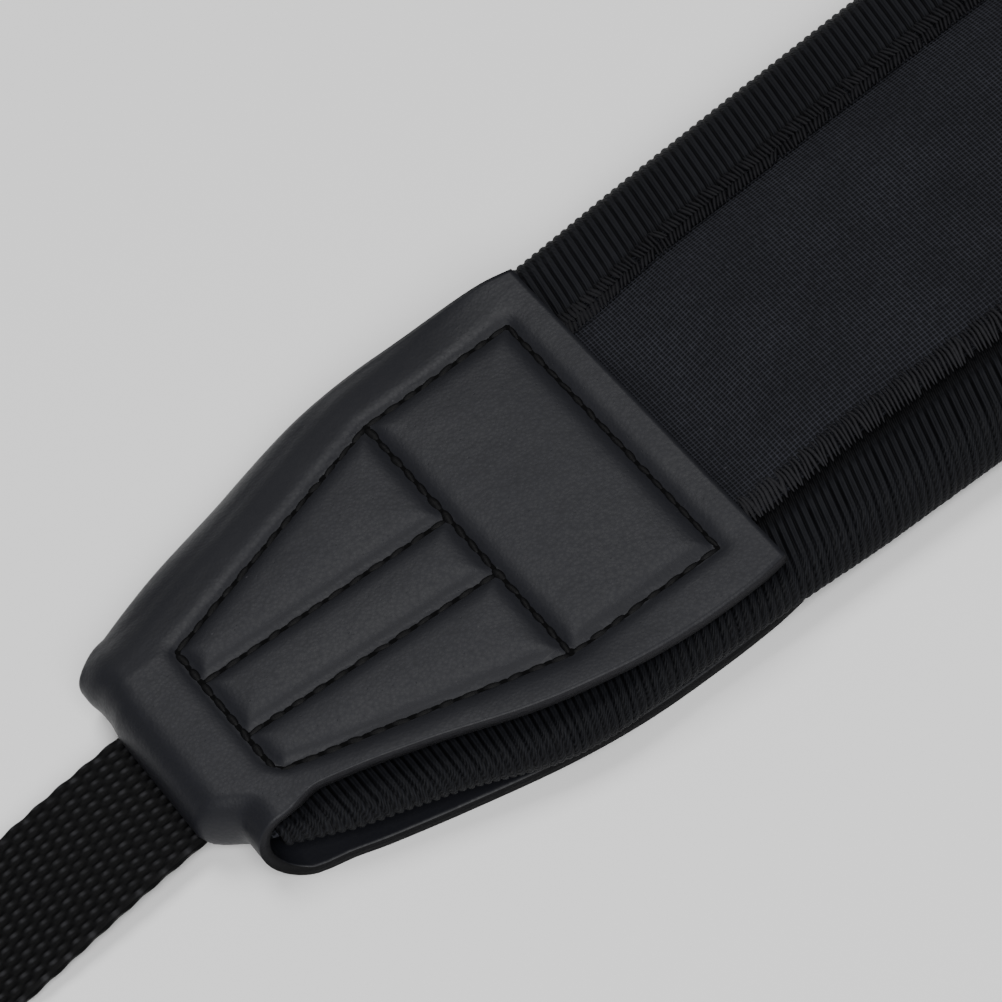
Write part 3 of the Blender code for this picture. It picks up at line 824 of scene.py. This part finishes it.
def make_tab(word, side, leather, edge):
    """Leather folded over the pad's end, with a slit through the fold for the webbing."""
    nose_start = TAB_LENGTH - NOSE_RADIUS
    slit_low = LEATHER + GAP / 2
    slit_high = LEATHER + WEB_THICKNESS + 3 * GAP
    slit_half = WEB_WIDTH / 2 + 2 * GAP
    # Rows over the fold, with one row of corners on each long edge of the slit
    slit_angles = [math.asin(height / NOSE_RADIUS - 1) for height in (slit_high, slit_low)]
    over = np.linspace(math.pi / 2, slit_angles[0], 14)[1:]
    through = np.linspace(slit_angles[0], slit_angles[1], 4)[1:]
    down = np.linspace(slit_angles[1], -math.pi / 2, 8)[1:]
    turn = np.concatenate([over, through, down])
    top_rows = np.linspace(0, nose_start, TAB_TOP_ROWS)
    under_rows = np.linspace(nose_start, 0, TAB_UNDER_ROWS)[1:]
    along = np.concatenate([top_rows, nose_start + NOSE_RADIUS * np.cos(turn), under_rows])
    under_heights = UNDER_LIFT * ease((nose_start - under_rows) / 6)
    top_heights = np.full(len(top_rows), TAB_HEIGHT)
    height = np.concatenate([top_heights, NOSE_RADIUS * (1 + np.sin(turn)), under_heights])
    far_tip = TAB_WIDTH / 2 * TAB_OUTLINE[-1][TAB_FAR]
    near_tip = TAB_WIDTH / 2 * TAB_OUTLINE[-1][TAB_NEAR]
    # Columns across, with one at each short edge of the slit
    low = (near_tip - slit_half + WEB_SHIFT) / (near_tip + far_tip)
    high = (near_tip + slit_half + WEB_SHIFT) / (near_tip + far_tip)
    across_near = np.linspace(0, low, 19)[:-1]
    across_slit = np.linspace(low, high, 73)[:-1]
    shares = np.concatenate([across_near, across_slit, np.linspace(high, 1, 21)])
    blend = ease(height / TAB_HEIGHT)
    far, near, under = (
        TAB_WIDTH / 2 * on_table(TAB_OUTLINE, column, along / TAB_LENGTH)
        for column in (TAB_FAR, TAB_NEAR, TAB_UNDER)
    )
    far = under + (far - under) * blend
    near = under + (near - under) * blend
    across = -near[:, None] + shares[None, :] * (near + far)[:, None]
    places = np.empty((len(along), len(shares), 3))
    places[:, :, 0] = side * (PAD_HALF_SEEN + along)[:, None]
    places[:, :, 1] = across
    places[:, :, 2] = height[:, None]
    shown = np.clip(along, 0, nose_start)[:, None] * np.ones_like(across)
    relief = tab_top(shown, across) - TAB_HEIGHT
    places[:, :, 2] += relief * ease((height - NOSE_RADIUS) / NOSE_RADIUS)[:, None]
    # Beside the slit the fold is pulled back towards the pad
    to_fold = ease((along - (TAB_LENGTH - 17)) / 15)[:, None]
    pulled = NEAR_PULL * ease((-across - slit_half + 1.8) / 4.6)
    pulled += FAR_PULL * ease((across - 8) / 3) * (1 - ease((across - 12.5) / 3))
    places[:, :, 0] -= side * pulled * to_fold
    name = "leather_tab_" + word
    mesh = cloth_grid(name, places)
    bm = bmesh.new()
    bm.from_mesh(mesh)
    cut = []
    for face in bm.faces:
        centre = face.calc_center_median() / MM
        in_height = slit_low - 0.01 < centre.z < slit_high + 0.01
        if in_height and abs(centre.y - WEB_SHIFT) < slit_half and abs(centre.x) > NOSE_CENTRE_X:
            cut.append(face)
    bmesh.ops.delete(bm, geom=cut, context="FACES")
    bmesh.ops.recalc_face_normals(bm, faces=bm.faces)
    highest = max(bm.faces, key=lambda face: face.calc_center_median().z)
    if highest.normal.z < 0:
        bmesh.ops.reverse_faces(bm, faces=bm.faces)
    bm.to_mesh(mesh)
    bm.free()
    tab = dressed(name, mesh, [leather, edge])
    wall = tab.modifiers.new("leather", "SOLIDIFY")
    wall.thickness = LEATHER * MM
    wall.offset = -1
    wall.use_even_offset = True
    wall.material_offset_rim = 1
    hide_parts("tab_" + word)


def make_stitches(word, side, finish, hole_shade_finish):
    """Thread of a tab's stitching, above and below, with a near-black bead of painted shade for the needle
    hole at each end of a stitch.
    """
    rng = np.random.default_rng(51 + side)
    bead = small_bead("stitch", STITCH_SIZE, 8, 8)
    hole = small_bead("painted_hole_shade", HOLE_SHADE_SIZE, 8, 5)
    places = []
    holes = []
    for line, ((x0, y0), (x1, y1)) in enumerate(STITCH_LINES):
        length = math.hypot(x1 - x0, y1 - y0)
        count = round(length / STITCH_PITCH)
        direction = math.atan2(y1 - y0, side * (x1 - x0))
        width = 1.65 if line in BOLD_LINES else 1.35
        for index in range(2 * count + 1):
            t = index / (2 * count)
            along = x0 + (x1 - x0) * t
            across = y0 + (y1 - y0) * t
            surface = float(tab_top(np.array(along), np.array(across)))
            turn = Matrix.Rotation(direction + math.radians(rng.normal(0, 5)), 4, "Z")
            where = Vector((side * (PAD_HALF_SEEN + along), across, surface)) * MM
            # Even places get a near-black bead of painted shade for a needle hole, and odd ones the thread
            # between them
            if index % 2 == 0:
                ragged = Matrix.Diagonal((rng.uniform(0.8, 1.4), width * rng.uniform(0.75, 1.45), 1, 1))
                beside = Matrix.Translation((0, rng.normal(0, 0.08) * MM, 0))
                holes.append(Matrix.Translation(where) @ turn @ beside @ ragged)
                continue
            size = Matrix.Diagonal((rng.uniform(0.85, 1.06), width * rng.uniform(0.8, 1.15), width, 1))
            lift = Matrix.Translation((0, 0, 0.04 * MM))
            places.append(Matrix.Translation(where) @ lift @ turn @ size)
            under = Vector((where.x, where.y, 0.09 * MM))
            places.append(Matrix.Translation(under) @ turn @ Matrix.Diagonal(STITCH_PRESSED))
    scattered("tab_stitches_" + word, bead, places, [finish])
    scattered("needle_holes_" + word, hole, holes, [hole_shade_finish])


def web_path():
    """Middle line of the webbing as (distance out of the fold, height), from inside the tab to its tail."""
    half = WEB_THICKNESS / 2
    pitch = WEB_THICKNESS + WEB_LAYER_GAP
    inside_height = LEATHER + GAP + half
    bar_rise = SLIDER_BAR_HEIGHT + GAP
    reach = SLIDER_LENGTH / 2 - SLIDER_BAR
    hump = SLIDER_MIDDLE_BAR / 2
    eye_start = WEB_REACH - EYE_RADIUS - WEB_THICKNESS
    eye_turn = EYE_RADIUS + half

    def over_bar(distance):
        away = np.abs(distance - SLIDER_FROM_TIP)
        return bar_rise * (1 - ease((away - hump + GAP) / (reach - hump + 4 * GAP)))

    out = np.linspace(-WEB_INSIDE, eye_start, 600)
    level = ease(out / WEB_SETTLE * 7 / 6 - 1 / 6)
    out_height = inside_height + (half - inside_height) * level + over_bar(out)
    angle = np.linspace(-math.pi / 2, math.pi / 2, 40)[1:-1]
    tail_end = SLIDER_FROM_TIP - SLIDER_LENGTH / 2 - WEB_TAIL
    back = np.linspace(eye_start, tail_end, 240)
    drop = ease((back - (eye_start - EYE_LENGTH)) / EYE_LENGTH)
    low = half + pitch + over_bar(back)
    back_height = low + (half + 2 * eye_turn - low) * drop
    distance = np.concatenate([out, eye_start + eye_turn * np.cos(angle), back])
    height = np.concatenate([out_height, half + eye_turn * (1 + np.sin(angle)), back_height])
    return distance, height


def make_webbing(word, side, finish):
    """Woven strap: warp floats stand out in a checker, and the edges are scalloped by the weft."""
    distance, height = web_path()
    step = np.hypot(np.diff(distance), np.diff(height))
    run = np.concatenate([[0], np.cumsum(step)])
    stations = np.arange(0, run[-1], WEFT_ROW / 3)[:, None]
    tangent_x = np.gradient(distance)
    tangent_z = np.gradient(height)
    size = np.hypot(tangent_x, tangent_z)
    normal_x, normal_z = -tangent_z / size, tangent_x / size
    # The weft's slant fades near both ends, which are cut square
    skew = WEFT_SKEW * ease(stations / 8) * ease((run[-1] - stations) / 8)
    column = WEB_WIDTH / WARP_COLUMNS
    upper = np.concatenate([(index + np.array([0.0, 0.3, 0.7])) for index in range(WARP_COLUMNS)])
    lower = np.arange(WARP_COLUMNS) + 0.5
    half = WEB_WIDTH / 2
    rim = EDGE_SCALLOP * np.cos(math.pi * stations / WEFT_ROW)

    def laid(across, lift):
        """Places of the weft rows at places across, lifted off the middle of the webbing."""
        along = np.clip(stations - skew * across, 0, run[-1])
        path = (distance, height, normal_x, normal_z)
        x, z, up_x, up_z = (np.interp(along, run, values) for values in path)
        return np.stack([x + lift * up_x, across + 0 * x, z + lift * up_z], axis=2)

    def threads(columns, face):
        """One face's places, flat places, and crowns that take the painted highlight."""
        number = np.floor(columns)
        inside = columns - number
        float_wave = np.cos(math.pi * (stations / WEFT_ROW + number[None, :] + (face < 0)))
        profile = np.sqrt(np.clip(1 - (2 * inside - 1) ** 2, 0, 1))[None, :]
        edge = np.clip(np.minimum(columns, WARP_COLUMNS - columns) / 0.6, 0, 1)[None, :]
        # The lower face is sunk by all its relief, so that it stays above the floor
        sunk = FLOAT_SUNK if face > 0 else FLOAT_RELIEF
        relief = FLOAT_RELIEF * profile * float_wave - sunk
        lift = WEB_THICKNESS / 2 * (0.55 + 0.45 * edge) + relief * edge
        across = (columns - WARP_COLUMNS / 2)[None, :] * column
        scallop = rim * np.sign(across) * (1 - edge)
        flat = np.stack([stations + 0 * across, across + (face < 0) * 40 + 0 * stations], axis=2)
        return laid(across + scallop, face * lift), flat, np.clip(profile * float_wave, 0, 1) ** 3

    top, top_flat, top_crown = threads(upper, 1)
    under, under_flat, under_crown = threads(lower[::-1], -1)
    # The rims get no painted highlight
    dull = np.zeros((len(stations), 1))
    far_rim, near_rim = laid(half + rim, 0.0), laid(-half + rim, 0.0)
    rim_flat = np.stack([stations, half + 0 * stations], axis=2)
    ring = np.concatenate([top, far_rim, under, near_rim, top[:, :1]], axis=1)
    flat = np.concatenate([top_flat, rim_flat, under_flat, rim_flat, top_flat[:, :1]], axis=1)
    crown = np.concatenate([top_crown, dull, under_crown, dull, top_crown[:, :1]], axis=1)
    shift = WEB_SHIFT * (1 - ease((ring[:, :, 0] - WEB_SHIFT_FADE / 2) / WEB_SHIFT_FADE))
    turned = ring.copy()
    out, over = ring[:, :, 0], ring[:, :, 1]
    turned[:, :, 0] = side * (TIP_X + out * math.cos(WEB_LEAN) + over * math.sin(WEB_LEAN))
    turned[:, :, 1] = over * math.cos(WEB_LEAN) - out * math.sin(WEB_LEAN) + shift
    name = "woven_webbing_" + word
    webbing = dressed(name, sealed(cloth_grid(name, turned, flat, crown)), [finish], 70)
    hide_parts("webbing_" + word)


def stand_floor():
    """Plain pale floor."""
    bm = bmesh.new()
    bmesh.ops.create_grid(bm, x_segments=1, y_segments=1, size=4.0)
    mesh = bpy.data.meshes.new("floor")
    bm.to_mesh(mesh)
    bm.free()
    floor = bpy.data.objects.new("floor", mesh)
    bpy.context.scene.collection.objects.link(floor)
    paint = bpy.data.materials.new("floor")
    paint.use_nodes = True
    shader = paint.node_tree.nodes["Principled BSDF"]
    shader.inputs["Base Color"].default_value = (0.88, 0.88, 0.88, 1)
    shader.inputs["Roughness"].default_value = 0.9
    mesh.materials.append(paint)


def lamp(name, place, aim, size, power):
    """Square soft lamp."""
    light = bpy.data.lights.new(name, "AREA")
    light.shape = "SQUARE"
    light.size = size
    light.energy = power
    stand = bpy.data.objects.new(name, light)
    stand.location = place
    stand.rotation_euler = (Vector(aim) - Vector(place)).to_track_quat("-Z", "Y").to_euler()
    bpy.context.scene.collection.objects.link(stand)


def light_studio():
    """Soft lamps over the strap and a pale world."""
    world = bpy.data.worlds.new("studio")
    world.use_nodes = True
    background = world.node_tree.nodes["Background"]
    background.inputs["Color"].default_value = (1, 1, 1, 1)
    background.inputs["Strength"].default_value = 0.17
    bpy.context.scene.world = world
    left_tab = (-0.17, 0, 0)
    lamp("key", (-0.07, 0.42, 0.95), left_tab, 0.5, 5.5)
    lamp("front", (-0.40, -0.70, 0.85), left_tab, 0.9, 16.0)


def stand_camera():
    """Camera at the photograph's angle, over the strap's left tab."""
    elevation, azimuth, roll = (math.radians(angle) for angle in (52.33, -15.12, -23.73))
    distance = 0.6
    pixels_per_metre = 9019
    picture_width = 1002
    aim = Vector((-0.175, 0.00758 - PAD_BOW * MM, 0))
    level = Vector((math.cos(azimuth), math.sin(azimuth), 0))
    flat = math.cos(elevation)
    back = Vector((math.sin(azimuth) * flat, -math.cos(azimuth) * flat, math.sin(elevation)))
    upright = back.cross(level)
    right = level * math.cos(roll) + upright * math.sin(roll)
    up = upright * math.cos(roll) - level * math.sin(roll)
    lens = bpy.data.cameras.new("camera")
    lens.sensor_width = 36
    lens.lens = lens.sensor_width * distance * pixels_per_metre / picture_width
    lens.clip_start = 0.01
    camera = bpy.data.objects.new("camera", lens)
    bpy.context.scene.collection.objects.link(camera)
    turn = Matrix((right, up, back)).transposed().to_4x4()
    camera.matrix_world = Matrix.Translation(aim + back * distance) @ turn
    bpy.context.scene.camera = camera


stand_camera()
stand_floor()
light_studio()

knit = knit_finish()
ridge_threads = {
    "near": thread_finish("ridge_thread_near", "binding_tape", (0.019, 0.019, 0.022), 0.6),
    "far": thread_finish("ridge_thread_far", "binding_tape", (0.0085, 0.0085, 0.0105), 0.6),
}
stitch_thread = thread_finish("stitch_thread", "tab_leather", (0.0026, 0.0026, 0.0032), 0.6)
# Painted shade for the needle holes: a near-black finish
hole_shadow = thread_finish("painted_hole_shade", "tab_leather", (0.0005, 0.0005, 0.0007), 0.95)
tab_leather = leather_finish()
leather_edge = edge_finish()
nylon = webbing_finish()
plastic = plastic_finish()

make_pad(knit)
for word, sideways in (("near", -1), ("far", 1)):
    make_binding(word, sideways, tape_finish(word))
    make_ridges(word, sideways, ridge_threads[word])
for word, side in (("left", -1), ("right", 1)):
    make_tab(word, side, tab_leather, leather_edge)
    make_stitches(word, side, stitch_thread, hole_shadow)
    make_webbing(word, side, nylon)
    # The slider stays as built, and gets its finish on its own material slots
    slider = bpy.data.objects["slider_" + word]
    for place in slider.material_slots:
        place.material = plastic.material
